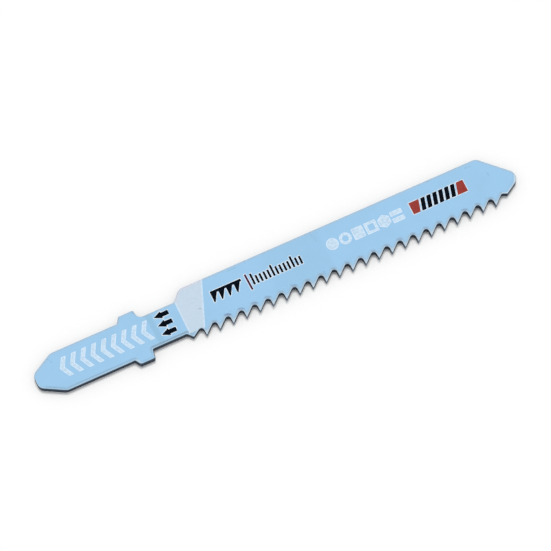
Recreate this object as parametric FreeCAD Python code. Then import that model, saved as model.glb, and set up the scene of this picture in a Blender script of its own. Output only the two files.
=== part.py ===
import FreeCAD
import Part

import math
import os

# Jigsaw blade with a T shank, punched from one strip of high speed steel.
# Millimetres. The blade lies flat: +X runs from the tang to the nose, +Y towards the
# smooth back, the teeth point to -Y and cut towards the tang, and +Z is the printed face.
# The origin is on the tang's centre line, in the under face, level with the flanks of the
# two lugs that carry the pull of the saw.

# Strip
overall_length = 75.0
thickness = 1.0
edge_roll = 0.14

# Tang, from its blunt end to the load flanks of the lugs
tang_length = 16.87
tang_width = 6.08
tang_end_width = 2.2
tang_taper_length = 3.42
tang_end_radius = 1.2
tang_shoulder_radius = 1.8

# Lugs, one on each side of the tang
lug_span = 7.93
lug_crest_length = 2.26
lug_flank_draft = 0.22
lug_ramp = 0.58
lug_corner_radius = 0.28
lug_foot_radius = 0.3

# Neck, between the lugs and the body
neck_width = 5.12
neck_back_length = 5.55
neck_tooth_length = 5.3
neck_back_root_radius = 0.8
neck_tooth_root_radius = 0.15
neck_end_radius = 0.5

# Body
back_height = 4.11
tooth_side_height = 3.76
shoulder_angle = 48.0
shoulder_radius = 1.3
first_ramp_angle = 50.0

# Nose
nose_radius = 1.3
nose_drop = 0.56
nose_back_angle = 45.0
nose_tooth_angle = 31.0
nose_shoulder_radius = 1.3

# Teeth
tooth_pitch = 2.0797
tooth_depth = 1.17
tooth_land = 0.11
rake_angle = 2.0
gullet_radius = 0.46
first_tooth_gap = 5.684
first_tip_height = 3.35
row_end_lift = 0.2
row_end_teeth = 5
run_out_angle = 27.0

# Wavy set: the toothed margin is bent to both sides in turn, so that the cut clears the strip
set_offset = 0.11
set_height = 0.6
teeth_per_wave = 7.4
set_rows = 4
set_columns_per_tooth = 3

# How far a cutting tool runs past the strip, and what it takes off the blank below the tips
overrun = 1.0
milling_allowance = 0.1

# Levels and places that follow from the sizes above
tang_end_x = -tang_length
nose_end_x = overall_length - tang_length
tip_y = -tooth_side_height
blank_y = tip_y - milling_allowance
floor_y = tip_y + tooth_depth
set_line_y = floor_y + set_height
nose_centre = FreeCAD.Vector(nose_end_x - nose_radius, -nose_drop, 0)
front_neck_end = FreeCAD.Vector(neck_tooth_length, -neck_width / 2, 0)


def slope(angle):
    return math.tan(math.radians(angle))


def direction(angle):
    return FreeCAD.Vector(math.cos(math.radians(angle)), math.sin(math.radians(angle)), 0)


def x_at(point, angle, y):
    """Where the line through point, rising at angle, reaches the height y."""
    return point.x + (y - point.y) / slope(angle)


def rounded_wire(corners):
    """A closed wire through corners (x, y, radius), each rounded by a tangent arc that its runs have room for."""
    count = len(corners)
    places = [FreeCAD.Vector(x, y, 0) for x, y, radius in corners]
    starts = []
    ends = []
    arcs = []
    for i, (x, y, radius) in enumerate(corners):
        back = places[i - 1] - places[i]
        ahead = places[(i + 1) % count] - places[i]
        room = min(back.Length, ahead.Length) / 2
        back.normalize()
        ahead.normalize()
        half_angle = back.getAngle(ahead) / 2
        run = min(radius / math.tan(half_angle), room)
        radius = run * math.tan(half_angle)
        start = places[i] + back * run
        end = places[i] + ahead * run
        if radius > 0:
            middle = (back + ahead).normalize() * (radius / math.sin(half_angle) - radius)
            arcs.append(Part.Arc(start, places[i] + middle, end).toShape())
        else:
            arcs.append(None)
        starts.append(start)
        ends.append(end)
    edges = []
    for i in range(count):
        if arcs[i]:
            edges.append(arcs[i])
        following = (i + 1) % count
        if ends[i].distanceToPoint(starts[following]) > 1e-6:
            edges.append(Part.LineSegment(ends[i], starts[following]).toShape())
    return Part.Wire(edges)


def tang_side(side, root_radius):
    """One side of the tang from its blunt end to the neck, with its lug; side is 1 for the back."""
    crest_end = -lug_flank_draft
    crest_start = crest_end - lug_crest_length
    return [
        (tang_end_x, side * tang_end_width / 2, tang_end_radius),
        (tang_end_x + tang_taper_length, side * tang_width / 2, tang_shoulder_radius),
        (crest_start - lug_ramp, side * tang_width / 2, lug_foot_radius),
        (crest_start, side * lug_span / 2, lug_corner_radius),
        (crest_end, side * lug_span / 2, lug_corner_radius),
        (0, side * neck_width / 2, root_radius),
    ]


def nose_corner():
    """Where the nose's two straight flanks would meet if the nose were not rounded."""
    back_touch = nose_centre + direction(90 - nose_back_angle) * nose_radius
    tooth_touch = nose_centre + direction(nose_tooth_angle - 90) * nose_radius
    back_slope = -slope(nose_back_angle)
    tooth_slope = slope(nose_tooth_angle)
    x = (
        tooth_touch.y - back_touch.y + back_slope * back_touch.x - tooth_slope * tooth_touch.x
    ) / (back_slope - tooth_slope)
    return FreeCAD.Vector(x, back_touch.y + back_slope * (x - back_touch.x), 0)


def blank_wire():
    """Outline of the punched blank, before its teeth are milled."""
    back = tang_side(1, neck_back_root_radius)
    front = tang_side(-1, neck_tooth_root_radius)
    back_neck_end = FreeCAD.Vector(neck_back_length, neck_width / 2, 0)
    shoulder_x = x_at(back_neck_end, shoulder_angle, back_height)
    ramp_foot_x = x_at(front_neck_end, -first_ramp_angle, blank_y)
    nose = nose_corner()
    corners = list(front)
    corners.append((front_neck_end.x, front_neck_end.y, neck_end_radius))
    corners.append((ramp_foot_x, blank_y, 0))
    corners.append((x_at(nose, nose_tooth_angle, blank_y), blank_y, 0))
    corners.append((nose.x, nose.y, nose_radius))
    corners.append((x_at(nose, -nose_back_angle, back_height), back_height, nose_shoulder_radius))
    corners.append((shoulder_x, back_height, shoulder_radius))
    corners.append((back_neck_end.x, back_neck_end.y, neck_end_radius))
    corners.extend(reversed(back))
    return rounded_wire(corners)


def to_be_milled(edge):
    return all(abs(vertex.Y - blank_y) < 1e-6 for vertex in edge.Vertexes)


def punched_blank():
    """The strip punched to its outline, with the printed face's edge rolled by the punch."""
    blank = Part.Face(blank_wire()).extrude(FreeCAD.Vector(0, 0, thickness))
    rolled = []
    for edge in blank.Edges:
        if min(vertex.Z for vertex in edge.Vertexes) > thickness / 2 and not to_be_milled(edge):
            rolled.append(edge)
    return blank.makeFillet(edge_roll, rolled)


def tooth_tip(number):
    """Where a tooth's rake face meets its land. The first tooth has neither, and ends the ramp from the neck."""
    if number == 0:
        return FreeCAD.Vector(x_at(front_neck_end, -first_ramp_angle, -first_tip_height), -first_tip_height, 0)
    return FreeCAD.Vector(first_tooth_gap + number * tooth_pitch, tip_y + row_lift(number), 0)


def gullet_centre(number):
    """Centre of the round floor that follows a tooth, tangent to the next tooth's rake face."""
    y = floor_y - gullet_radius
    lean = (y - tip_y) * slope(rake_angle)
    next_tip_x = first_tooth_gap + (number + 1) * tooth_pitch
    x = next_tip_x - lean - gullet_radius / math.cos(math.radians(rake_angle))
    return FreeCAD.Vector(x, y + row_lift(number), 0)


def gullet(number):
    """The space milled behind one tooth: its land and relief flank, the round floor and the next rake face."""
    tip = tooth_tip(number)
    centre = gullet_centre(number)
    start = tip if number == 0 else tip + FreeCAD.Vector(tooth_land, 0, 0)
    if number == tooth_count - 1:
        # behind the last tooth the floor runs out towards the nose
        last_angle = 90 - run_out_angle
        end = centre + direction(last_angle) * gullet_radius + direction(last_angle - 90) * tooth_pitch
    else:
        last_angle = rake_angle
        end = tooth_tip(number + 1)
    sight = centre - start
    flank_angle = math.degrees(math.atan2(sight.y, sight.x) + math.asin(gullet_radius / sight.Length))
    flank_touch = centre + direction(flank_angle + 90) * gullet_radius
    middle_angle = (flank_angle + 90 + last_angle) / 2
    last_touch = centre + direction(last_angle) * gullet_radius
    below_end = FreeCAD.Vector(end.x, blank_y - overrun, 0)
    below_tip = FreeCAD.Vector(tip.x, blank_y - overrun, 0)
    edges = [
        Part.LineSegment(start, flank_touch).toShape(),
        Part.Arc(flank_touch, centre + direction(middle_angle) * gullet_radius, last_touch).toShape(),
        Part.LineSegment(last_touch, end).toShape(),
        Part.LineSegment(end, below_end).toShape(),
        Part.LineSegment(below_end, below_tip).toShape(),
        Part.LineSegment(below_tip, tip).toShape(),
    ]
    if number > 0:
        edges.append(Part.LineSegment(tip, start).toShape())
    tool = Part.Face(Part.Wire(edges)).extrude(FreeCAD.Vector(0, 0, thickness + 2 * overrun))
    tool.translate(FreeCAD.Vector(0, 0, -overrun))
    return tool


def count_teeth():
    """Teeth from the neck to the nose, where the rising flank may clip the last tip but not its gullet."""
    row_end = x_at(nose_corner(), nose_tooth_angle, tip_y + tooth_depth / 3)
    return int((row_end - first_tooth_gap) / tooth_pitch) + 1


tooth_count = count_teeth()


def row_lift(number):
    """How much shallower the row is milled at its last teeth, where the strip runs out."""
    return row_end_lift * max(0, number - (tooth_count - 1 - row_end_teeth)) / row_end_teeth


def set_margin():
    """The toothed margin from the first gullet's floor to the last but one.

    It waves more towards the tips, and its first teeth lean to the under face.
    """
    start_x = gullet_centre(0).x
    end_x = gullet_centre(tooth_count - 2).x
    set_teeth = tooth_count - 2
    waves = max(1, round(set_teeth / teeth_per_wave))
    columns = set_teeth * set_columns_per_tooth
    grid = []
    for i in range(columns + 1):
        along = i / columns
        swing = -set_offset * math.sin(2 * math.pi * waves * along)
        x = start_x + (end_x - start_x) * along
        row = []
        for j in range(set_rows + 1):
            down = j / set_rows
            row.append(FreeCAD.Vector(x, set_line_y + (blank_y - set_line_y) * down, swing * down * down))
        grid.append(row)
    under_face = Part.BSplineSurface()
    under_face.interpolate(grid)
    margin = under_face.toShape().extrude(FreeCAD.Vector(0, 0, thickness))
    room = Part.makeBox(
        end_x - start_x,
        set_line_y - blank_y + overrun,
        thickness + 2 * overrun,
        FreeCAD.Vector(start_x, blank_y - overrun, -overrun),
    )
    return margin, room


def blade():
    margin, room = set_margin()
    body = punched_blank().cut(room).fuse(margin)
    tools = [gullet(number) for number in range(tooth_count)]
    return body.cut(tools)


shape = blade()
os.makedirs("parts", exist_ok=True)
shape.exportStep("parts/blade.step")
print("teeth", tooth_count, "solids", len(shape.Solids), "valid", shape.isValid())
print("volume", round(shape.Volume, 3), "faces", len(shape.Faces), "box", shape.BoundBox)
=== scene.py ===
import math

import bmesh
import bpy
from mathutils import Matrix, Vector


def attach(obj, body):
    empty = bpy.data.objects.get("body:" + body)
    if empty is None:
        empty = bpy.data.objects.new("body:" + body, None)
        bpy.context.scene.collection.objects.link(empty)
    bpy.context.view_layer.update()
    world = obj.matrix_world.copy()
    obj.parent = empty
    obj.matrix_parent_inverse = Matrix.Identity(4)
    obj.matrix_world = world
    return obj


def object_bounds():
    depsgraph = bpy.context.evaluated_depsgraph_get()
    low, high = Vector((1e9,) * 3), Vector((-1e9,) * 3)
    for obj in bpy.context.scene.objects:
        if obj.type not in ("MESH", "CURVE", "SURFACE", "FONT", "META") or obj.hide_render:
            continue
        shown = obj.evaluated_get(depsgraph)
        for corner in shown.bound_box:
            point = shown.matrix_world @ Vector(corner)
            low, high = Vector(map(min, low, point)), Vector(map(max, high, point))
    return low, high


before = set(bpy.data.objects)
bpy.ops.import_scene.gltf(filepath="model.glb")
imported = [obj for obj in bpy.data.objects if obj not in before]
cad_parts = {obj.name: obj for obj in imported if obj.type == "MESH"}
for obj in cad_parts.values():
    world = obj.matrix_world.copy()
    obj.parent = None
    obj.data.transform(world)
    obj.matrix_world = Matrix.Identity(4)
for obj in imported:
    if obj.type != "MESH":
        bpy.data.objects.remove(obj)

cad_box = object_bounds()
scene = bpy.context.scene
scene.view_settings.view_transform = "Standard"


# Camera: looks down on the blade as it lies, from the toothed side and a little from the
# tang, from close by. Aim and frame width are taken at the printed face.
mm = 0.001
thickness = 1.0
camera_azimuth = math.radians(-25.235)
camera_elevation = math.radians(69.0)
camera_distance = 0.45
frame_width = 78.27 * mm
aim = Vector((20.31, 0.11, thickness)) * mm

camera_data = bpy.data.cameras.new("studio_camera")
camera_data.sensor_width = 36.0
camera_data.lens = camera_data.sensor_width * camera_distance / frame_width
camera_data.clip_start = 0.05
camera = bpy.data.objects.new("studio_camera", camera_data)
sight = Vector((
    math.sin(camera_azimuth) * math.cos(camera_elevation),
    -math.cos(camera_azimuth) * math.cos(camera_elevation),
    math.sin(camera_elevation),
))
camera.location = aim + sight * camera_distance
camera.rotation_euler = (-sight).to_track_quat("-Z", "Y").to_euler()
scene.collection.objects.link(camera)
scene.camera = camera


# Studio: a white table under the blade, a white surround, and one broad soft lamp high
# above, a little towards the nose and the smooth back, so that a short soft shadow falls
# towards the teeth and the tang.
surround_share = 0.52
lamp_share = 0.48
lamp_tilt = math.radians(17.0)
lamp_bearing = math.radians(67.0)
lamp_spread = math.radians(20.0)
table_size = 1.6
table_level = cad_box[0][2]


def maths(tree, operation, *inputs, clamp=False):
    """A Math node fed with sockets or numbers."""
    step = tree.nodes.new("ShaderNodeMath")
    step.operation = operation
    step.use_clamp = clamp
    for socket, value in zip(step.inputs, inputs):
        if isinstance(value, bpy.types.NodeSocket):
            tree.links.new(value, socket)
        else:
            socket.default_value = value
    return step.outputs[0]


def seen_ray(tree):
    """1 for the rays that look at the surround itself, straight or in a reflection."""
    path = tree.nodes.new("ShaderNodeLightPath")
    looked_at = maths(tree, "MAXIMUM", path.outputs["Is Camera Ray"], path.outputs["Is Glossy Ray"])
    return maths(tree, "MAXIMUM", looked_at, path.outputs["Is Transmission Ray"])


surround = bpy.data.worlds.new("white_surround")
surround.use_nodes = True
surround_tree = surround.node_tree
background = surround_tree.nodes["Background"]
background.inputs["Color"].default_value = (1.0, 1.0, 1.0, 1.0)
surround_light = maths(
    surround_tree, "MULTIPLY_ADD", seen_ray(surround_tree), 1.0 - surround_share, surround_share
)
surround_tree.links.new(surround_light, background.inputs["Strength"])
scene.world = surround

lamp_data = bpy.data.lights.new("soft_lamp", "SUN")
lamp_data.angle = lamp_spread
lamp_data.energy = lamp_share * math.pi / math.cos(lamp_tilt)
lamp = bpy.data.objects.new("soft_lamp", lamp_data)
towards_lamp = Vector((
    math.sin(lamp_tilt) * math.cos(lamp_bearing),
    math.sin(lamp_tilt) * math.sin(lamp_bearing),
    math.cos(lamp_tilt),
))
lamp.rotation_euler = towards_lamp.to_track_quat("Z", "Y").to_euler()
scene.collection.objects.link(lamp)

table_paper = bpy.data.materials.new("white_table")
table_paper.use_nodes = True
table_tree = table_paper.node_tree
table_surface = table_tree.nodes["Principled BSDF"]
table_white = 0.985
table_brightness = 1.01
table_surface.inputs["Base Color"].default_value = (table_white, table_white, table_white, 1.0)
table_surface.inputs["Roughness"].default_value = 0.9
table_surface.inputs["Specular IOR Level"].default_value = 0.0
table_surface.inputs["Emission Color"].default_value = (1.0, 1.0, 1.0, 1.0)
table_glow = maths(table_tree, "MULTIPLY", seen_ray(table_tree), table_brightness - table_white)
table_tree.links.new(table_glow, table_surface.inputs["Emission Strength"])

table_mesh = bpy.data.meshes.new("table")
half = table_size / 2
table_mesh.from_pydata(
    [(x + aim.x, y, table_level) for x, y in ((-half, -half), (half, -half), (half, half), (-half, half))],
    [],
    [(0, 1, 2, 3)],
)
table_mesh.materials.append(table_paper)
table = bpy.data.objects.new("table", table_mesh)
scene.collection.objects.link(table)


# Blade: one strip of high speed steel, punched, milled and set, then coated all over with
# thin light blue lacquer. It stays dark on the cut walls and greyer along their edges, with a
# painted highlight at the edges that also stands for worn coat, and painted shade on the rolled edges of
# the toothed side and the back.
lacquer_blue = (151, 197, 232)
lacquer_deep = (149, 195, 229)
neck_band_blue = (138, 184, 215)
back_edge_shade = (166, 188, 205)
hairline_grey = (126, 154, 176)
teeth_grey = (155, 179, 197)
gullet_grey = (126, 152, 178)
tip_pale = (190, 207, 220)
edge_highlight_and_wear = (198, 213, 224)
wall_dark = (25, 39, 55)
wall_light = (43, 60, 78)
wall_worn = (114, 130, 148)
mark_and_shade_dark = (104, 126, 152)
arc_violet = (96, 100, 146)

tang_end_x = -16.87
tang_end_low = -0.4
tang_end_high = 0.3
tang_end_turn = (-16.74, -1.0)
tang_corner = (-16.27, -1.45)
tang_back_corner = (-16.7, 1.1)
tang_half = 3.04
taper_x = -13.45
lug_start_x = -3.06
lug_crest_x = -2.48
lug_end_x = -0.22
lug_half = 3.965
neck_half = 2.56
neck_root_top = 3.3
neck_root_x = 0.7
neck_back_end_x = 5.55
neck_tooth_end_x = 5.3
back_height = 4.11
shoulder_x = 6.95
first_tip = (5.963, -3.35)
first_flank_end = (7.03, -2.663)
last_floor = (55.112, -2.39)
last_floor_end = (55.321, -2.44)
nose_foot = (55.806, -2.687)
nose_touch = (57.5, -1.674)
nose_end = (58.13, -0.56)
nose_back_touch = (57.75, 0.36)
nose_shoulder_x = 54.0
tooth_pitch = 2.0797
gullet_radius = 0.46
first_gullet = (7.279, -3.05)
gullet_steps = 23
row_end_lift = 0.2
row_end_teeth = 5
rake_angle = 2.0
flank_angle = 41.8

hairline_in = 0.31
hairline_half = 0.23
nose_hairline_in = 0.36
nose_hairline_half = 0.14
edge_highlight_width = 0.2
nose_edge_highlight_width = 0.26
lug_edge_highlight_in = 0.27

field_start_x = 5.6
field_end_top = (10.6, 3.97)
field_end_foot = (8.12, -2.435)
field_floor_y = -2.66
field_pale = (195, 213, 229)
field_edge_shade = (203, 209, 223)


def colour(red, green, blue):
    """A colour read as 0 to 255 on a screen, as the linear values that a material takes."""
    linear = []
    for part in (red, green, blue):
        part = part / 255
        linear.append(part / 12.92 if part <= 0.04045 else ((part + 0.055) / 1.055) ** 2.4)
    return (*linear, 1.0)


def vector_step(tree, operation, first, second):
    """A Vector Math node fed with sockets or vectors."""
    step = tree.nodes.new("ShaderNodeVectorMath")
    step.operation = operation
    for socket, value in ((step.inputs[0], first), (step.inputs[1], second)):
        if isinstance(value, bpy.types.NodeSocket):
            tree.links.new(value, socket)
        else:
            socket.default_value = value
    return step


def place_in_mm(tree):
    """The place on the object in mm, as a vector and as its x, y and z."""
    where = tree.nodes.new("ShaderNodeTexCoord")
    place = vector_step(tree, "MULTIPLY", where.outputs["Object"], (1 / mm, 1 / mm, 1 / mm)).outputs[0]
    split = tree.nodes.new("ShaderNodeSeparateXYZ")
    tree.links.new(place, split.inputs[0])
    return place, split.outputs


def fade(tree, value, start, end):
    """A smooth rise from 0 at start to 1 at end."""
    step = tree.nodes.new("ShaderNodeMapRange")
    step.interpolation_type = "SMOOTHSTEP"
    tree.links.new(value, step.inputs["Value"])
    step.inputs["From Min"].default_value = start
    step.inputs["From Max"].default_value = end
    return step.outputs[0]


def band(tree, value, middle, half_width):
    """1 at the middle of a soft band, 0 outside it."""
    off = maths(tree, "ABSOLUTE", maths(tree, "SUBTRACT", value, middle))
    return fade(tree, off, half_width, 0.0)


def times(tree, *factors):
    """The product of several sockets or numbers."""
    product = factors[0]
    for factor in factors[1:]:
        product = maths(tree, "MULTIPLY", product, factor)
    return product


def painted(tree, cover, under, over):
    """The colour under, covered by the colour over where cover is 1."""
    step = tree.nodes.new("ShaderNodeMix")
    step.data_type = "RGBA"
    tree.links.new(cover, step.inputs[0])
    for socket, value in ((step.inputs[6], under), (step.inputs[7], over)):
        if isinstance(value, bpy.types.NodeSocket):
            tree.links.new(value, socket)
        else:
            socket.default_value = colour(*value)
    return step.outputs[2]


def grain(tree, place, scale, detail=2.0, stretch=(1.0, 1.0, 1.0)):
    """Noise from 0 to 1 at a place in mm; scale is in grains per mm."""
    step = tree.nodes.new("ShaderNodeTexNoise")
    tree.links.new(vector_step(tree, "MULTIPLY", place, stretch).outputs[0], step.inputs["Vector"])
    step.inputs["Scale"].default_value = scale
    step.inputs["Detail"].default_value = detail
    return step.outputs[0]


def from_run(tree, flat_place, start, end):
    """Distance in mm from a straight run on the face."""
    run = Vector((end[0] - start[0], end[1] - start[1], 0.0))
    away = vector_step(tree, "SUBTRACT", flat_place, (start[0], start[1], 0.0)).outputs[0]
    along = vector_step(tree, "DOT_PRODUCT", away, tuple(run / run.length_squared)).outputs["Value"]
    along = maths(tree, "MULTIPLY", along, 1.0, clamp=True)
    nearest = tree.nodes.new("ShaderNodeVectorMath")
    nearest.operation = "SCALE"
    nearest.inputs[0].default_value = run
    tree.links.new(along, nearest.inputs["Scale"])
    return vector_step(tree, "DISTANCE", away, nearest.outputs[0]).outputs["Value"]


def from_runs(tree, flat_place, points):
    """Distance in mm from the nearest of several runs through points."""
    nearest = None
    for start, end in zip(points, points[1:]):
        distance = from_run(tree, flat_place, start, end)
        nearest = distance if nearest is None else maths(tree, "MINIMUM", nearest, distance)
    return nearest


def turned(tree, x, y, angle):
    """The place (x, y) measured along a direction in degrees."""
    across = maths(tree, "MULTIPLY", x, math.cos(math.radians(angle)))
    return maths(tree, "MULTIPLY_ADD", y, math.sin(math.radians(angle)), across)


def reach(tree, x, y):
    """Length of the step (x, y)."""
    return maths(tree, "SQRT", maths(tree, "MULTIPLY_ADD", x, x, maths(tree, "MULTIPLY", y, y)))


def from_gullet(tree, x, y, side_angle, run_angle):
    """Distance from a gullet's edge on one side: round at its floor, straight below it."""
    round_reach = reach(tree, x, y)
    below = maths(tree, "GREATER_THAN", turned(tree, x, y, run_angle), 0.0)
    straight = maths(tree, "SUBTRACT", turned(tree, x, y, side_angle), round_reach)
    return maths(tree, "MULTIPLY_ADD", below, straight, round_reach)


lacquer = bpy.data.materials.new("blue_lacquer")
lacquer.use_nodes = True
tree = lacquer.node_tree
surface = tree.nodes["Principled BSDF"]
place, (x, y, z) = place_in_mm(tree)
flat = vector_step(tree, "MULTIPLY", place, (1.0, 1.0, 0.0)).outputs[0]
outwards = tree.nodes.new("ShaderNodeTexCoord").outputs["Normal"]
facing = tree.nodes.new("ShaderNodeSeparateXYZ")
tree.links.new(outwards, facing.inputs[0])
upright = maths(tree, "ABSOLUTE", facing.outputs[2])
on_wall = fade(tree, upright, 0.6, 0.3)

# painted shade: on the toothed side the wall's dark is painted up the rolled edge of taper, lug and neck,
# most at the lug
along_tang = times(
    tree,
    fade(tree, x, taper_x - 0.2, taper_x + 0.1),
    fade(tree, x, lug_start_x, lug_start_x - 0.3),
)
at_lug = times(tree, fade(tree, x, lug_start_x - 0.15, lug_start_x + 0.15), fade(tree, x, 0.05, lug_end_x))
painted_shade_roll = times(
    tree,
    fade(tree, maths(tree, "MULTIPLY_ADD", at_lug, -0.16, upright), 0.84, 0.72),
    maths(tree, "SUBTRACT", 1.0, along_tang),
    fade(tree, y, -0.8, -1.6),
    fade(tree, x, neck_tooth_end_x + 0.2, neck_tooth_end_x - 0.1),
    0.9,
)
on_wall = maths(tree, "MAXIMUM", on_wall, painted_shade_roll)
printed_side = maths(tree, "GREATER_THAN", z, thickness / 2)
patchy = fade(tree, grain(tree, place, 0.55, 2.0), 0.38, 0.62)

# the coat itself: almost even, a little deeper across the neck and in a broad band of the body
cloud = grain(tree, place, 0.35, 3.0)
tone = painted(tree, fade(tree, cloud, 0.35, 0.75), lacquer_blue, lacquer_deep)
neck_band_lean = 0.06
neck_band_start = (0.95, 1.15)
neck_band_end = (2.05, 1.75)
middle_band_start = (18.6, 20.6)
middle_band_end = (28.9, 28.3)
leant_x = maths(tree, "MULTIPLY_ADD", y, neck_band_lean, x)
deep_neck = times(tree, fade(tree, leant_x, *neck_band_start), fade(tree, leant_x, *neck_band_end), 0.7)
deep_middle = times(tree, fade(tree, x, *middle_band_start), fade(tree, x, *middle_band_end), 0.24)
tone = painted(tree, maths(tree, "MAXIMUM", deep_neck, deep_middle), tone, neck_band_blue)

# the pale field's print where it wraps over the rolled edges
field_slant = math.degrees(math.atan2(
    field_end_top[1] - field_end_foot[1], field_end_top[0] - field_end_foot[0]
))
from_field_end = turned(
    tree,
    maths(tree, "SUBTRACT", x, field_end_top[0]),
    maths(tree, "SUBTRACT", y, field_end_top[1]),
    field_slant + 90,
)
in_field = times(
    tree,
    fade(tree, x, field_start_x - 0.03, field_start_x + 0.03),
    fade(tree, from_field_end, -0.03, 0.03),
    fade(tree, y, field_floor_y - 0.2, field_floor_y + 0.05),
    printed_side,
)
tone = painted(tree, in_field, tone, field_pale)

# distances from the cut edges: straight runs round the outline, and the gullets one after another
tang_runs = from_runs(tree, flat, [
    (tang_end_x, tang_end_high), (tang_end_x, tang_end_low), tang_end_turn, tang_corner,
    (taper_x, -tang_half), (lug_start_x, -tang_half), (lug_crest_x, -lug_half), (lug_end_x, -lug_half),
    (0.0, -neck_half), (neck_tooth_end_x, -neck_half), first_tip, first_flank_end,
    (first_gullet[0], first_gullet[1] + gullet_radius),
])
nose_runs = from_runs(tree, flat, [last_floor, last_floor_end, nose_foot, nose_touch, nose_end])
back_runs = from_runs(tree, flat, [
    tang_back_corner, (taper_x, tang_half), (lug_start_x, tang_half), (lug_crest_x, lug_half),
    (lug_end_x, lug_half), (0.0, neck_root_top), (neck_root_x, neck_half), (neck_back_end_x, neck_half),
    (shoulder_x, back_height), (nose_shoulder_x, back_height), nose_back_touch, nose_end,
])

into_row = maths(tree, "SUBTRACT", x, first_gullet[0])
steps = maths(tree, "DIVIDE", into_row, tooth_pitch)
into_row_end = maths(tree, "SUBTRACT", steps, gullet_steps - row_end_teeth)
row_lift = maths(tree, "DIVIDE", into_row_end, row_end_teeth)
row_lift = maths(tree, "MULTIPLY", maths(tree, "MAXIMUM", row_lift, 0.0), row_end_lift)
height = maths(tree, "SUBTRACT", maths(tree, "SUBTRACT", y, first_gullet[1]), row_lift)
after = maths(tree, "FLOORED_MODULO", into_row, tooth_pitch)
before = maths(tree, "SUBTRACT", after, tooth_pitch)
rake_side = from_gullet(tree, after, height, rake_angle, rake_angle - 90)
flank_side = from_gullet(tree, before, height, flank_angle + 90, flank_angle + 180)
in_row = times(tree, maths(tree, "GREATER_THAN", steps, 0.0), maths(tree, "LESS_THAN", steps, gullet_steps))
from_teeth = maths(tree, "SUBTRACT", maths(tree, "MINIMUM", rake_side, flank_side), gullet_radius)
far_away = 50.0
from_teeth = maths(tree, "MULTIPLY_ADD", maths(tree, "SUBTRACT", 1.0, in_row), far_away, from_teeth)

# painted shade, grey towards the smooth back edge, and a grey hairline inside the cut edges of tang, neck
# and nose
tone = painted(tree, times(tree, fade(tree, back_runs, 0.45, 0.08), 0.6), tone, back_edge_shade)
tone = painted(tree, times(tree, in_field, fade(tree, back_runs, 0.5, 0.2), 0.8), tone, field_edge_shade)
tang_hairline_start = (-16.5, -15.6)
neck_hairline_start = (-0.6, 0.2)
neck_hairline_end = (6.2, 5.4)
above_lug = (-3.3, -2.9)
along_neck = times(tree, fade(tree, x, *neck_hairline_start), fade(tree, x, *neck_hairline_end))
hairline = maths(
    tree, "MAXIMUM",
    times(
        tree,
        band(tree, tang_runs, hairline_in, hairline_half),
        maths(tree, "MULTIPLY_ADD", along_neck, 0.35, 0.5),
        fade(tree, x, *tang_hairline_start),
        maths(tree, "MULTIPLY_ADD", fade(tree, y, *above_lug), 0.45, 0.55),
    ),
    times(tree, band(tree, nose_runs, nose_hairline_in, nose_hairline_half), 0.12),
)
hairline = times(tree, hairline, maths(tree, "MULTIPLY_ADD", patchy, 0.3, 0.85))
tone = painted(tree, hairline, tone, hairline_grey)
# pale rims at the cut edges: a painted highlight, which also stands for coat worn thin there
tone = painted(tree, times(tree, fade(tree, tang_runs, edge_highlight_width, 0.08), 0.5), tone, edge_highlight_and_wear)
tone = painted(tree, times(tree, fade(tree, nose_runs, nose_edge_highlight_width, 0.1), 0.85), tone, edge_highlight_and_wear)
on_lug_ramp = times(
    tree,
    fade(tree, y, -2.9, -3.1),
    fade(tree, x, lug_start_x, lug_start_x + 0.2),
    fade(tree, x, lug_crest_x + 0.4, lug_crest_x + 0.1),
)
lug_edge_highlight = times(tree, on_lug_ramp, band(tree, tang_runs, lug_edge_highlight_in, edge_highlight_width), 0.75)
tone = painted(tree, lug_edge_highlight, tone, edge_highlight_and_wear)

# the teeth: greyer towards their edges, darkest over each gullet's floor, a painted highlight with some
# wear right at their edges, and worn pale at the tip
tone = painted(tree, times(tree, fade(tree, from_teeth, 0.52, 0.1), 0.62), tone, teeth_grey)
tone = painted(tree, times(tree, fade(tree, from_teeth, 0.14, 0.03), 0.6), tone, edge_highlight_and_wear)
tip_wear = times(tree, fade(tree, height, 0.05, -0.4), in_row)
tone = painted(tree, times(tree, tip_wear, 0.75), tone, tip_pale)
around = maths(tree, "WRAP", into_row, tooth_pitch / 2, -tooth_pitch / 2)
from_centre = reach(tree, around, height)
floor_direction = 70.0
over_floor = maths(tree, "DIVIDE", turned(tree, around, height, floor_direction), from_centre)
burn = times(tree, fade(tree, from_teeth, 0.55, 0.05), fade(tree, over_floor, 0.75, 0.97), in_row)
tone = painted(tree, times(tree, burn, maths(tree, "MULTIPLY_ADD", patchy, 0.25, 0.5)), tone, gullet_grey)

# arcs of heat colour over a few gullets: number of the gullet, strength
heat_arcs = [(0, 0.25), (2, 0.75), (3, 0.4), (4, 0.4), (5, 0.3), (7, 0.25), (15, 0.2), (20, 0.25)]
arcs = None
gullet_number = maths(tree, "ROUND", steps)
for number, strength in heat_arcs:
    there = times(tree, maths(tree, "COMPARE", gullet_number, number, 0.3), strength)
    arcs = there if arcs is None else maths(tree, "ADD", arcs, there)
arc_line = times(tree, band(tree, from_teeth, 0.36, 0.17), fade(tree, over_floor, 0.6, 0.95), in_row)
tone = painted(tree, times(tree, arc_line, arcs), tone, arc_violet)
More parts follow.
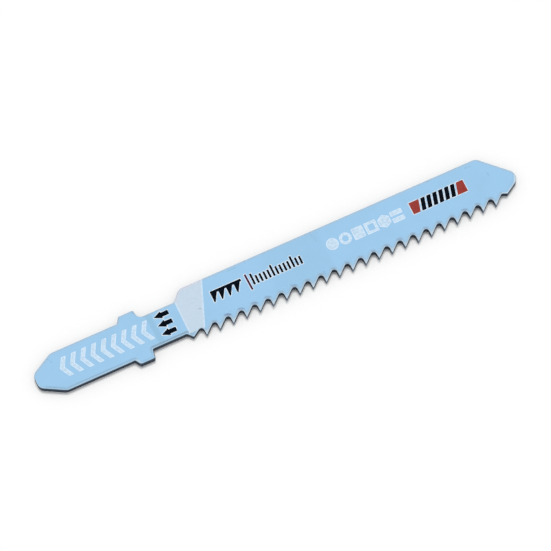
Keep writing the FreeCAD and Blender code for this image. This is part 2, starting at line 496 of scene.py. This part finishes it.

# small marks of handling, and painted shade along the edges of the lug at the back: start, end, half width,
# strength
handling_marks_and_lug_shade = [
    ((54.56, 1.48), (54.65, 0.96), 0.07, 0.4),
    ((27.42, 3.87), (27.8, 2.33), 0.06, 0.25),
    ((27.75, 3.6), (28.0, 2.7), 0.06, 0.15),
    ((14.4, 3.62), (15.7, 3.66), 0.12, 0.2),
    ((52.0, 3.44), (52.3, 3.46), 0.1, 0.3),
    ((52.6, 3.42), (52.85, 3.38), 0.08, 0.3),
    ((46.1, 3.88), (46.35, 3.86), 0.1, 0.3),
    ((26.76, -2.2), (26.84, -2.72), 0.07, 0.5),
    ((-14.1, 2.32), (-14.06, 2.28), 0.09, 0.5),
    ((-14.45, 2.1), (-14.4, 2.05), 0.07, 0.3),
    ((-14.0, 2.0), (-13.9, 2.15), 0.06, 0.25),
    ((-13.76, 1.8), (-13.7, 1.76), 0.09, 0.5),
    ((-3.55, -2.72), (-3.5, -2.74), 0.09, 0.5),
    # the next two are painted shade along the back lug's ramp and the end of its crest
    ((-3.0, 3.14), (-2.6, 3.8), 0.2, 0.35),
    ((-0.44, 3.86), (-0.34, 3.45), 0.15, 0.25),
]


def with_marks(tree, flat_place, tone, marks, cover):
    """The tone with small dark marks drawn on it."""
    for start, end, half_width, strength in marks:
        mark = fade(tree, from_run(tree, flat_place, start, end), half_width, half_width * 0.3)
        tone = painted(tree, times(tree, mark, cover, strength), tone, mark_and_shade_dark)
    return tone


tone = with_marks(tree, flat, tone, handling_marks_and_lug_shade, printed_side)

# the walls, dark from the heat of punching and milling, with fine upright tool lines
tool_lines = grain(tree, place, 1.0, 3.0, (14.0, 14.0, 0.6))
wall_tone = painted(tree, fade(tree, tool_lines, 0.35, 0.7), wall_dark, wall_light)
wall_tone = painted(tree, times(tree, fade(tree, height, -0.38, -0.68), in_row, 0.85), wall_tone, wall_worn)
tone = painted(tree, on_wall, tone, wall_tone)
tree.links.new(tone, surface.inputs["Base Color"])

# gloss and relief: satin, with faint lengthwise lines of the rolled strip
strip_lines = grain(tree, place, 1.0, 4.0, (0.5, 18.0, 18.0))
peel = grain(tree, place, 3.2, 2.0)
coat_roughness = 0.42
wall_extra_roughness = 0.15
roughness = maths(tree, "MULTIPLY_ADD", strip_lines, 0.1, coat_roughness)
roughness = maths(tree, "MULTIPLY_ADD", on_wall, wall_extra_roughness, roughness)
tree.links.new(roughness, surface.inputs["Roughness"])
surface.inputs["Specular IOR Level"].default_value = 0.2
relief = maths(tree, "MULTIPLY_ADD", peel, 0.6, maths(tree, "MULTIPLY", strip_lines, 0.4))
relief = maths(tree, "MULTIPLY_ADD", on_wall, maths(tree, "MULTIPLY", tool_lines, 4.0), relief)
bump = tree.nodes.new("ShaderNodeBump")
bump.inputs["Strength"].default_value = 0.25
bump.inputs["Distance"].default_value = 0.004 * mm
tree.links.new(relief, bump.inputs["Height"])
tree.links.new(bump.outputs[0], surface.inputs["Normal"])

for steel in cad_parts.values():
    for coat in steel.material_slots:
        coat.link = "OBJECT"
        coat.material = lacquer


# Pale field: a thin even coat of pale ink, screen printed across the root of the body, from
# the neck to a slanted end. Both ends have a lighter line, a painted highlight.
field_low = (190, 211, 227)
field_line_pale = (201, 223, 242)
field_thickness = 0.006
line_thickness = 0.003
edge_roll = 0.14
field_low_end = (8.0, -2.743)
shoulder_corner = (7.008, back_height - edge_roll, 1.16)
shoulder_steps = 10
neck_back_corner = (5.803, 2.632)
neck_back_turn = (5.7, 2.54)
field_start_top = 2.481
field_gullet_gap = 0.06
field_line_width = 0.23
field_line_foot = field_floor_y + 0.1
field_line_low_top = 2.45
field_line_high_top = 2.6


def rounded(points, radius, steps=4):
    """The outline through points (x, y), with corners rounded to radius or to a point's own third value."""
    outline = []
    count = len(points)
    for i, point in enumerate(points):
        corner = Vector(point[:2])
        back = Vector(points[i - 1][:2]) - corner
        ahead = Vector(points[(i + 1) % count][:2]) - corner
        room = min(back.length, ahead.length) / 2
        back.normalize()
        ahead.normalize()
        half_angle = back.angle(ahead) / 2
        asked = point[2] if len(point) > 2 else radius
        run = min(asked / math.tan(half_angle), room)
        bend = run * math.tan(half_angle)
        # a corner that is hardly rounded or hardly bent stays as it is
        if bend < 1e-3 or half_angle > math.radians(89):
            outline.append(tuple(corner))
            continue
        centre = corner + (back + ahead).normalized() * (bend / math.sin(half_angle))
        first = corner + back * run - centre
        last = corner + ahead * run - centre
        sweep = first.angle_signed(last)
        for step in range(steps + 1):
            spoke = first.copy()
            spoke.rotate(Matrix.Rotation(-sweep * step / steps, 2))
            outline.append(tuple(centre + spoke))
    return outline


def printed_film(name, outlines, ink, bottom, top):
    """A closed film of ink on the printed face, from outlines in mm; one inside another is a hole."""
    drawn = bpy.data.curves.new(name, "CURVE")
    drawn.dimensions = "2D"
    drawn.fill_mode = "BOTH"
    drawn.extrude = (top - bottom) / 2 * mm
    for outline in outlines:
        spline = drawn.splines.new("POLY")
        spline.points.add(len(outline) - 1)
        for point, (x, y) in zip(spline.points, outline):
            point.co = (x * mm, y * mm, 0.0, 1.0)
        spline.use_cyclic_u = True
    sketch = bpy.data.objects.new(name + "_sketch", drawn)
    mesh = bpy.data.meshes.new_from_object(sketch)
    bpy.data.objects.remove(sketch)
    mesh.name = name
    film = bmesh.new()
    film.from_mesh(mesh)
    bmesh.ops.remove_doubles(film, verts=film.verts, dist=0.0005 * mm)
    bmesh.ops.recalc_face_normals(film, faces=film.faces)
    for vertex in film.verts:
        vertex.co.z += (thickness + (bottom + top) / 2) * mm
    film.to_mesh(mesh)
    film.free()
    mesh.materials.clear()
    mesh.materials.append(ink)
    piece = bpy.data.objects.new(name, mesh)
    scene.collection.objects.link(piece)
    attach(piece, "root")


def printing_ink(name, full, thin, cover, roughness, shine):
    """Ink that is full in places and thin in others; cover is the share of it that is full."""
    material = bpy.data.materials.new(name)
    material.use_nodes = True
    tree = material.node_tree
    surface = tree.nodes["Principled BSDF"]
    place = place_in_mm(tree)[0]
    spread = grain(tree, place, 3.2, 4.0)
    # nearly all of the noise lies between 0.37 and 0.64
    limit = 0.37 + 0.27 * cover
    tone = painted(tree, fade(tree, spread, limit + 0.08, limit - 0.08), thin, full)
    tree.links.new(tone, surface.inputs["Base Color"])
    tree.links.new(maths(tree, "MULTIPLY_ADD", spread, 0.12, roughness), surface.inputs["Roughness"])
    surface.inputs["Specular IOR Level"].default_value = shine
    bump = tree.nodes.new("ShaderNodeBump")
    bump.inputs["Strength"].default_value = 0.3
    bump.inputs["Distance"].default_value = 0.003 * mm
    tree.links.new(grain(tree, place, 9.0, 2.0), bump.inputs["Height"])
    tree.links.new(bump.outputs[0], surface.inputs["Normal"])
    return material


field_ink = printing_ink(
    "field_ink", field_pale, field_low, cover=0.6, roughness=coat_roughness, shine=0.2
)
tree = field_ink.node_tree
surface = tree.nodes["Principled BSDF"]
place, (x, y, z) = place_in_mm(tree)
flat = vector_step(tree, "MULTIPLY", place, (1.0, 1.0, 0.0)).outputs[0]
tone = surface.inputs["Base Color"].links[0].from_socket
tone = painted(tree, times(tree, fade(tree, y, 0.5, -2.5), 0.6), tone, field_low)
field_back_runs = from_runs(tree, flat, [
    (neck_back_end_x, neck_half), (shoulder_x, back_height), (nose_shoulder_x, back_height),
])
# painted shade along the back edge and shoulder of the field
tone = painted(tree, times(tree, fade(tree, field_back_runs, 0.55, 0.2), 0.9), tone, field_edge_shade)
tone = with_marks(tree, flat, tone, [
    ((8.45, 0.14), (8.55, 0.1), 0.14, 0.5),
    ((8.05, 0.25), (8.25, 0.18), 0.06, 0.3),
], cover=1.0)
tree.links.new(tone, surface.inputs["Base Color"])

gullet_rim = gullet_radius + field_gullet_gap
field_outline = [(field_start_x, field_floor_y)]
for angle in range(130, 30, -10):
    field_outline.append((
        first_gullet[0] + gullet_rim * math.cos(math.radians(angle)),
        first_gullet[1] + gullet_rim * math.sin(math.radians(angle)),
    ))
field_outline += [field_low_end, field_end_top]
field_outline += rounded([field_end_top, shoulder_corner, neck_back_corner], 0.0, shoulder_steps)[1:-1]
field_outline += [neck_back_corner, neck_back_turn, (field_start_x, field_start_top)]
printed_film("pale_field", [field_outline], field_ink, 0.0, field_thickness)

# the lighter lines at both ends of the field are a painted highlight
line_ink = printing_ink(
    "field_line_ink", field_line_pale, field_pale, cover=0.7, roughness=coat_roughness, shine=0.2
)
slant_step = field_line_width / math.sin(math.radians(field_slant))
field_lines = [
    [
        (field_start_x, field_line_foot),
        (field_start_x + field_line_width, field_line_foot),
        (field_start_x + field_line_width, field_line_high_top),
        (field_start_x, field_line_low_top),
    ],
    [
        (field_low_end[0] - slant_step, field_low_end[1]),
        field_low_end,
        field_end_top,
        (field_end_top[0] - slant_step, field_end_top[1]),
    ],
]
line_top = field_thickness + line_thickness
printed_film("pale_field_lines", field_lines, line_ink, field_thickness, line_top)


# White marks on the tang: nine chevrons that point the way the tang goes into the saw. They
# are one thin coat of white ink, pad printed on the lacquer, with a fuller rim.
white_full = (203, 226, 244)
white_thin = (188, 213, 234)
white_rim = (217, 234, 251)
white_thickness = 0.012
rim_thickness = 0.003
rim_top = white_thickness + rim_thickness
rim_width = 0.1
chevron_count = 9
chevron_start_x = -13.07
chevron_end_x = 0.98
chevron_low_y = -1.25
chevron_high_y = 1.79
chevron_depth = 0.8
chevron_stroke = 0.72
chevron_corner = 0.07


def grown(points, margin):
    """The outline through points, given anticlockwise, moved outwards by margin."""
    outline = []
    count = len(points)
    for i, point in enumerate(points):
        corner = Vector(point)
        before = (corner - Vector(points[i - 1])).normalized()
        after = (Vector(points[(i + 1) % count]) - corner).normalized()
        outwards = Vector((before.y + after.y, -before.x - after.x)).normalized()
        outline.append(tuple(corner + outwards * (margin / outwards.dot(Vector((before.y, -before.x))))))
    return outline


def print_white(name, outlines, corner):
    """White marks: one thin coat, and a fuller rim where the pad pressed the ink out."""
    full = []
    rims = []
    for outline in outlines:
        outer = rounded(outline, corner)
        full.append(outer)
        rims.append(outer)
        rims.append(rounded(grown(outline, -rim_width), corner / 2))
    printed_film(name, full, white_ink, 0.0, white_thickness)
    printed_film(name + "_rims", rims, white_rim_ink, white_thickness, rim_top)


white_ink = printing_ink("white_ink", white_full, white_thin, cover=0.55, roughness=0.5, shine=0.2)
white_rim_ink = printing_ink("white_rim_ink", white_rim, white_full, cover=0.6, roughness=0.5, shine=0.2)
chevron_width = chevron_depth + chevron_stroke
chevron_pitch = (chevron_end_x - chevron_start_x - chevron_width) / (chevron_count - 1)
chevron_middle_y = (chevron_low_y + chevron_high_y) / 2
chevrons = []
for number in range(chevron_count):
    start_x = chevron_start_x + number * chevron_pitch
    chevrons.append([
        (start_x, chevron_middle_y),
        (start_x + chevron_depth, chevron_low_y),
        (start_x + chevron_width, chevron_low_y),
        (start_x + chevron_stroke, chevron_middle_y),
        (start_x + chevron_width, chevron_high_y),
        (start_x + chevron_depth, chevron_high_y),
    ])
print_white("tang_chevrons", chevrons, chevron_corner)


# Black marks on the neck: three short arrows, one above another, that point into the saw.
# They are black ink printed over a pale first coat, which shows round them as a thin keyline.
black_full = (0, 4, 15)
black_thin = (6, 19, 34)
keyline_pale = (226, 237, 246)
black_thickness = 0.014
keyline_thickness = 0.006
keyline_width = 0.11
arrow_count = 3
arrow_tip_x = 1.965
arrow_end_x = 4.24
arrow_head_x = 3.17
arrow_low_y = -1.75
arrow_high_y = 2.18
arrow_half = 0.57
arrow_shaft_half = 0.34
arrow_corner = 0.06


def print_over_keyline(name, outlines, ink, corner):
    """Marks in strong ink over a pale first coat that is a little wider."""
    keylines = []
    marks = []
    for outline in outlines:
        keylines.append(rounded(grown(outline, keyline_width), corner + keyline_width))
        marks.append(rounded(outline, corner))
    printed_film(name + "_keylines", keylines, keyline_ink, 0.0, keyline_thickness)
    printed_film(name, marks, ink, keyline_thickness, black_thickness)


keyline_ink = printing_ink("keyline_ink", keyline_pale, lacquer_blue, cover=0.75, roughness=0.45, shine=0.2)
black_ink = printing_ink("black_ink", black_full, black_thin, cover=0.75, roughness=0.5, shine=0.02)
arrow_pitch = (arrow_high_y - arrow_low_y - 2 * arrow_half) / (arrow_count - 1)
arrows = []
for number in range(arrow_count):
    middle_y = arrow_low_y + arrow_half + number * arrow_pitch
    arrows.append([
        (arrow_tip_x, middle_y),
        (arrow_head_x, middle_y - arrow_half),
        (arrow_head_x, middle_y - arrow_shaft_half),
        (arrow_end_x, middle_y - arrow_shaft_half),
        (arrow_end_x, middle_y + arrow_shaft_half),
        (arrow_head_x, middle_y + arrow_shaft_half),
        (arrow_head_x, middle_y + arrow_half),
    ])
print_over_keyline("neck_arrows", arrows, black_ink, arrow_corner)


# Black sign for the kind of tooth: a short length of saw edge, in the same black ink. A dark
# red upright bar closes it off from the scale that follows.
tooth_sign_start_x = 10.78
tooth_sign_end_x = 15.56
tooth_sign_high_y = 1.835
tooth_sign_bar_y = 1.42
tooth_sign_low_y = 0.07
tooth_sign_count = 4
tooth_sign_land = 0.16
tooth_sign_gap = 0.24
tooth_sign_corner = 0.05
divider_red = (66, 20, 50)
divider_thin = (88, 44, 74)
divider = [(16.33, -0.45), (16.62, -0.45), (16.53, 2.12), (16.24, 2.12)]
divider_corner = 0.03

sign_pitch = (tooth_sign_end_x - tooth_sign_start_x) / tooth_sign_count
saw_edge = [(tooth_sign_start_x, tooth_sign_high_y)]
for number in range(tooth_sign_count):
    rake_x = tooth_sign_start_x + number * sign_pitch
    saw_edge += [
        (rake_x, tooth_sign_low_y),
        (rake_x + tooth_sign_land, tooth_sign_low_y),
        (rake_x + sign_pitch - tooth_sign_gap, tooth_sign_bar_y),
    ]
    if number < tooth_sign_count - 1:
        saw_edge.append((rake_x + sign_pitch, tooth_sign_bar_y))
saw_edge += [(tooth_sign_end_x, tooth_sign_bar_y), (tooth_sign_end_x, tooth_sign_high_y)]
print_over_keyline("tooth_sign", [saw_edge], black_ink, tooth_sign_corner)
divider_ink = printing_ink("divider_ink", divider_red, divider_thin, cover=0.6, roughness=0.5, shine=0.04)
print_over_keyline("divider", [divider], divider_ink, divider_corner)


# Fine black scale: thirteen upright ticks, every fifth one longer. They are the same black ink
# over the same pale first coat.
tick_count = 13
tick_start_x = 16.96
tick_pitch = 0.62
tick_width = 0.32
tick_foot_y = 0.12
tick_height = 1.28
long_tick_height = 1.78
tick_corner = 0.04

ticks = []
for number in range(tick_count):
    tick_x = tick_start_x + number * tick_pitch
    tick_top_y = tick_foot_y + (tick_height if number % 5 else long_tick_height)
    ticks.append([
        (tick_x, tick_foot_y),
        (tick_x + tick_width, tick_foot_y),
        (tick_x + tick_width, tick_top_y),
        (tick_x, tick_top_y),
    ])
print_over_keyline("fine_scale", ticks, black_ink, tick_corner)


# White signs for what the blade cuts: sections of round bar, tube, square bar, square tube,
# hexagon bar and strip, in the white ink of the tang's marks.
section_count = 6
section_start_x = 28.78
section_pitch = 2.058
section_half = 0.915
square_bar_half = 0.94 * section_half
section_middle_y = 0.985
section_wall = 0.42
section_corner = 0.08
strip_gap = 0.36


def regular(sides, radius, centre_x, turn=0.0):
    """A closed outline with equal sides about a section's centre, anticlockwise."""
    outline = []
    for side in range(sides):
        angle = 2 * math.pi * side / sides + turn
        outline.append((centre_x + radius * math.cos(angle), section_middle_y + radius * math.sin(angle)))
    return outline


def upright_box(centre_x, half_width, low_y, high_y):
    """A closed upright box about a section's centre line, anticlockwise."""
    return [
        (centre_x - half_width, low_y),
        (centre_x + half_width, low_y),
        (centre_x + half_width, high_y),
        (centre_x - half_width, high_y),
    ]


section_x = [section_start_x + section_half + number * section_pitch for number in range(section_count)]
section_low_y = section_middle_y - section_half
section_high_y = section_middle_y + section_half
round_sides = 36
solid_sections = [
    regular(round_sides, section_half, section_x[0]),
    upright_box(section_x[2], square_bar_half, section_low_y, section_high_y),
    regular(6, section_half / math.cos(math.pi / 6), section_x[4], math.pi / 6),
    upright_box(section_x[5], section_half, section_low_y, section_middle_y - strip_gap / 2),
    upright_box(section_x[5], section_half, section_middle_y + strip_gap / 2, section_high_y),
]
print_white("solid_sections", solid_sections, section_corner)
tube_outer = regular(round_sides, section_half, section_x[1])
tube_inner = regular(round_sides, section_half - section_wall, section_x[1])
box_outer = upright_box(section_x[3], section_half, section_low_y, section_high_y)
box_inner = grown(box_outer, -section_wall)
tubes = [tube_outer, tube_inner, rounded(box_outer, section_corner), rounded(box_inner, section_corner)]
printed_film("tube_sections", tubes, white_ink, 0.0, white_thickness)
tube_rims = [
    tube_outer,
    regular(round_sides, section_half - rim_width, section_x[1]),
    regular(round_sides, section_half - section_wall + rim_width, section_x[1]),
    tube_inner,
    rounded(box_outer, section_corner),
    rounded(grown(box_outer, -rim_width), section_corner),
    rounded(grown(box_outer, rim_width - section_wall), section_corner),
    rounded(box_inner, section_corner),
]
printed_film("tube_section_rims", tube_rims, white_rim_ink, white_thickness, rim_top)


# Red and black stripes near the nose: a red block at each end and slanted black bars between,
# as a plain sign for the working end. Both inks lie over the pale first coat.
red_full = (150, 56, 49)
red_thin = (155, 66, 59)
stripe_low_y = 0.12
stripe_high_y = 2.01
stripe_slant = 0.55
stripe_count = 6
stripe_width = 0.66
block_width = 1.07
block_start_x = 42.23
block_end_x = 50.88
stripe_corner = 0.05

first_block_end_x = block_start_x + block_width
last_block_foot_x = block_end_x - block_width - stripe_slant
stripe_room = last_block_foot_x - first_block_end_x
stripe_gap = (stripe_room - stripe_count * stripe_width) / (stripe_count + 1)
stripes = []
for number in range(stripe_count):
    foot_x = first_block_end_x + stripe_gap + number * (stripe_width + stripe_gap)
    stripes.append([
        (foot_x, stripe_low_y),
        (foot_x + stripe_width, stripe_low_y),
        (foot_x + stripe_width + stripe_slant, stripe_high_y),
        (foot_x + stripe_slant, stripe_high_y),
    ])
print_over_keyline("nose_stripes", stripes, black_ink, stripe_corner)
red_blocks = [
    [
        (block_start_x, stripe_low_y),
        (first_block_end_x, stripe_low_y),
        (first_block_end_x + stripe_slant, stripe_high_y),
        (block_start_x, stripe_high_y),
    ],
    [
        (last_block_foot_x, stripe_low_y),
        (block_end_x, stripe_low_y),
        (block_end_x, stripe_high_y),
        (block_end_x - block_width, stripe_high_y),
    ],
]
red_ink = printing_ink("red_ink", red_full, red_thin, cover=0.6, roughness=0.5, shine=0.04)
print_over_keyline("nose_blocks", red_blocks, red_ink, stripe_corner)
